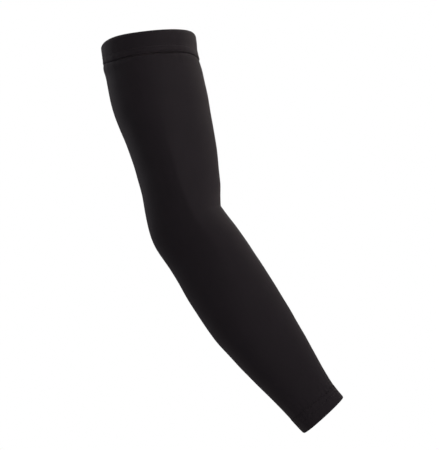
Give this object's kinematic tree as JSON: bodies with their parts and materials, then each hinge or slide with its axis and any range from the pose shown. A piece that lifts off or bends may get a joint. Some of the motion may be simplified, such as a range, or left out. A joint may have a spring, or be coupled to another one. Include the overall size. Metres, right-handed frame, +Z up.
{
  "type": "arm sleeve",
  "caption": "Knitted compression sleeve for an arm, bent at the elbow, tapering from a folded upper-arm band to a folded wrist hem, open at both ends.",
  "frame": {"origin": "middle of the upper opening, where the arm goes in", "axes": "+Z up as worn with the arm hanging, +X towards the inside of the elbow, so that the forearm leans to +X, Y across the arm"},
  "size_m": [0.2538, 0.099, 0.4198],
  "materials": {
    "knit": "smooth fine black stretch knit, matt with a soft sheen",
    "folded_knit": "the same black knit, doubled and stitched"
  },
  "bodies": {
    "root": {"sleeve_body": "knit", "upper_band": "folded_knit", "wrist_hem": "folded_knit"}
  },
  "joints": []
}
